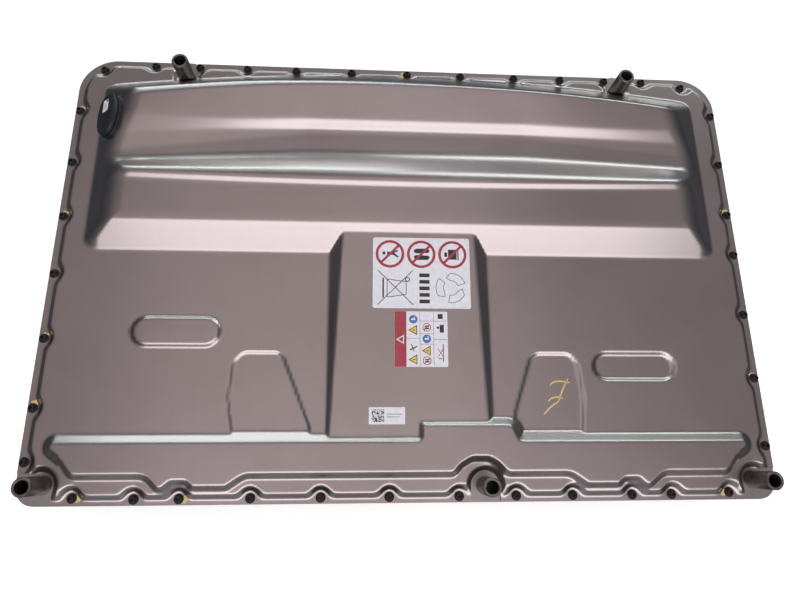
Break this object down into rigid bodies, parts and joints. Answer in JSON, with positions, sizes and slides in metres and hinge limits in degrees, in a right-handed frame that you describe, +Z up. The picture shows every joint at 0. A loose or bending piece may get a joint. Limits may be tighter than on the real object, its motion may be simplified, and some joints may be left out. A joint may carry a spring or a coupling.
{
  "type": "traction battery pack",
  "caption": "Flat rectangular traction battery pack: stamped sheet cover with a stepped hump on a ribbed tray, holding clamped modules of prismatic cells, with standing mounting sleeves.",
  "frame": {"origin": "centre of the pack's outline, on the surface that the tray stands on", "axes": "+X to the right along the pack's length, +Y to the rear, where the hump is, +Z up out of the cover"},
  "size_m": [1.016, 0.6659, 0.169],
  "materials": {
    "cover_sheet": "satin",
    "seal_rubber": "matte",
    "tray_casting": "cast",
    "sleeve_steel": "dark satin",
    "black_screw": "black coated",
    "black_plastic": "moulded",
    "membrane": "matte",
    "label_film": "satin",
    "cold_plate": "satin",
    "coolant_plastic": "moulded",
    "cell_can": "satin",
    "module_frame": "satin",
    "copper": "satin",
    "zinc_steel": "zinc plated",
    "armature_steel": "satin",
    "contactor_shell": "moulded",
    "relay_plastic": "moulded",
    "fuse_ceramic": "matte",
    "controller_case": "cast",
    "orange_plastic": "moulded"
  },
  "bodies": {
    "pack": {"battery_controller": "controller_case", "cold_plate_front": "cold_plate", "cold_plate_rear": "cold_plate", "contactor_negative": "contactor_shell", "contactor_positive": "contactor_shell", "coolant_manifold": "coolant_plastic", "coolant_spigots": "coolant_plastic", "current_sensor": "relay_plastic", "hv_busbars": "copper", "hv_connector": "orange_plastic", "junction_box_base": "black_plastic", "junction_box_lid": "black_plastic", "lv_connector": "black_plastic", "main_fuse": "fuse_ceramic", "module_1_busbars": "copper", "module_1_cells": "cell_can", "module_1_frame": "module_frame", "module_2_busbars": "copper", "module_2_cells": "cell_can", "module_2_frame": "module_frame", "module_3_busbars": "copper", "module_3_cells": "cell_can", "module_3_frame": "module_frame", "module_4_busbars": "copper", "module_4_cells": "cell_can", "module_4_frame": "module_frame", "module_5_busbars": "copper", "module_5_cells": "cell_can", "module_5_frame": "module_frame", "module_6_busbars": "copper", "module_6_cells": "cell_can", "module_6_frame": "module_frame", "module_7_busbars": "copper", "module_7_cells": "cell_can", "module_7_frame": "module_frame", "module_8_busbars": "copper", "module_8_cells": "cell_can", "module_8_frame": "module_frame", "module_bolts": "zinc_steel", "precharge_relay": "relay_plastic", "sleeve_front_centre": "sleeve_steel", "sleeve_front_left": "sleeve_steel", "sleeve_front_right": "sleeve_steel", "sleeve_rear_left": "sleeve_steel", "sleeve_rear_right": "sleeve_steel", "tray": "tray_casting"},
    "cover": {"top_cover": "cover_sheet", "cover_seal": "seal_rubber", "cover_screws_front": "black_screw", "cover_screws_left": "black_screw", "cover_screws_rear": "black_screw", "cover_screws_right": "black_screw", "label_code": "label_film", "label_handling": "label_film", "label_hazard": "label_film", "vent_cap": "black_plastic", "vent_housing": "black_plastic", "vent_membrane": "membrane"},
    "positive_armature": {"contactor_armature_positive": "armature_steel"},
    "negative_armature": {"contactor_armature_negative": "armature_steel"}
  },
  "joints": [
    {"name": "cover_lift", "type": "slide", "parent": "pack", "child": "cover", "axis": [0, 0, 1], "range_m": [0, 0.25]},
    {"name": "positive_contactor", "type": "slide", "parent": "pack", "child": "positive_armature", "axis": [0, 0, 1], "range_m": [0, 0.002], "stiffness_N_per_m": 1500, "springref_m": -0.002},
    {"name": "negative_contactor", "type": "slide", "parent": "pack", "child": "negative_armature", "axis": [0, 0, 1], "range_m": [0, 0.002], "stiffness_N_per_m": 1500, "springref_m": -0.002}
  ]
}
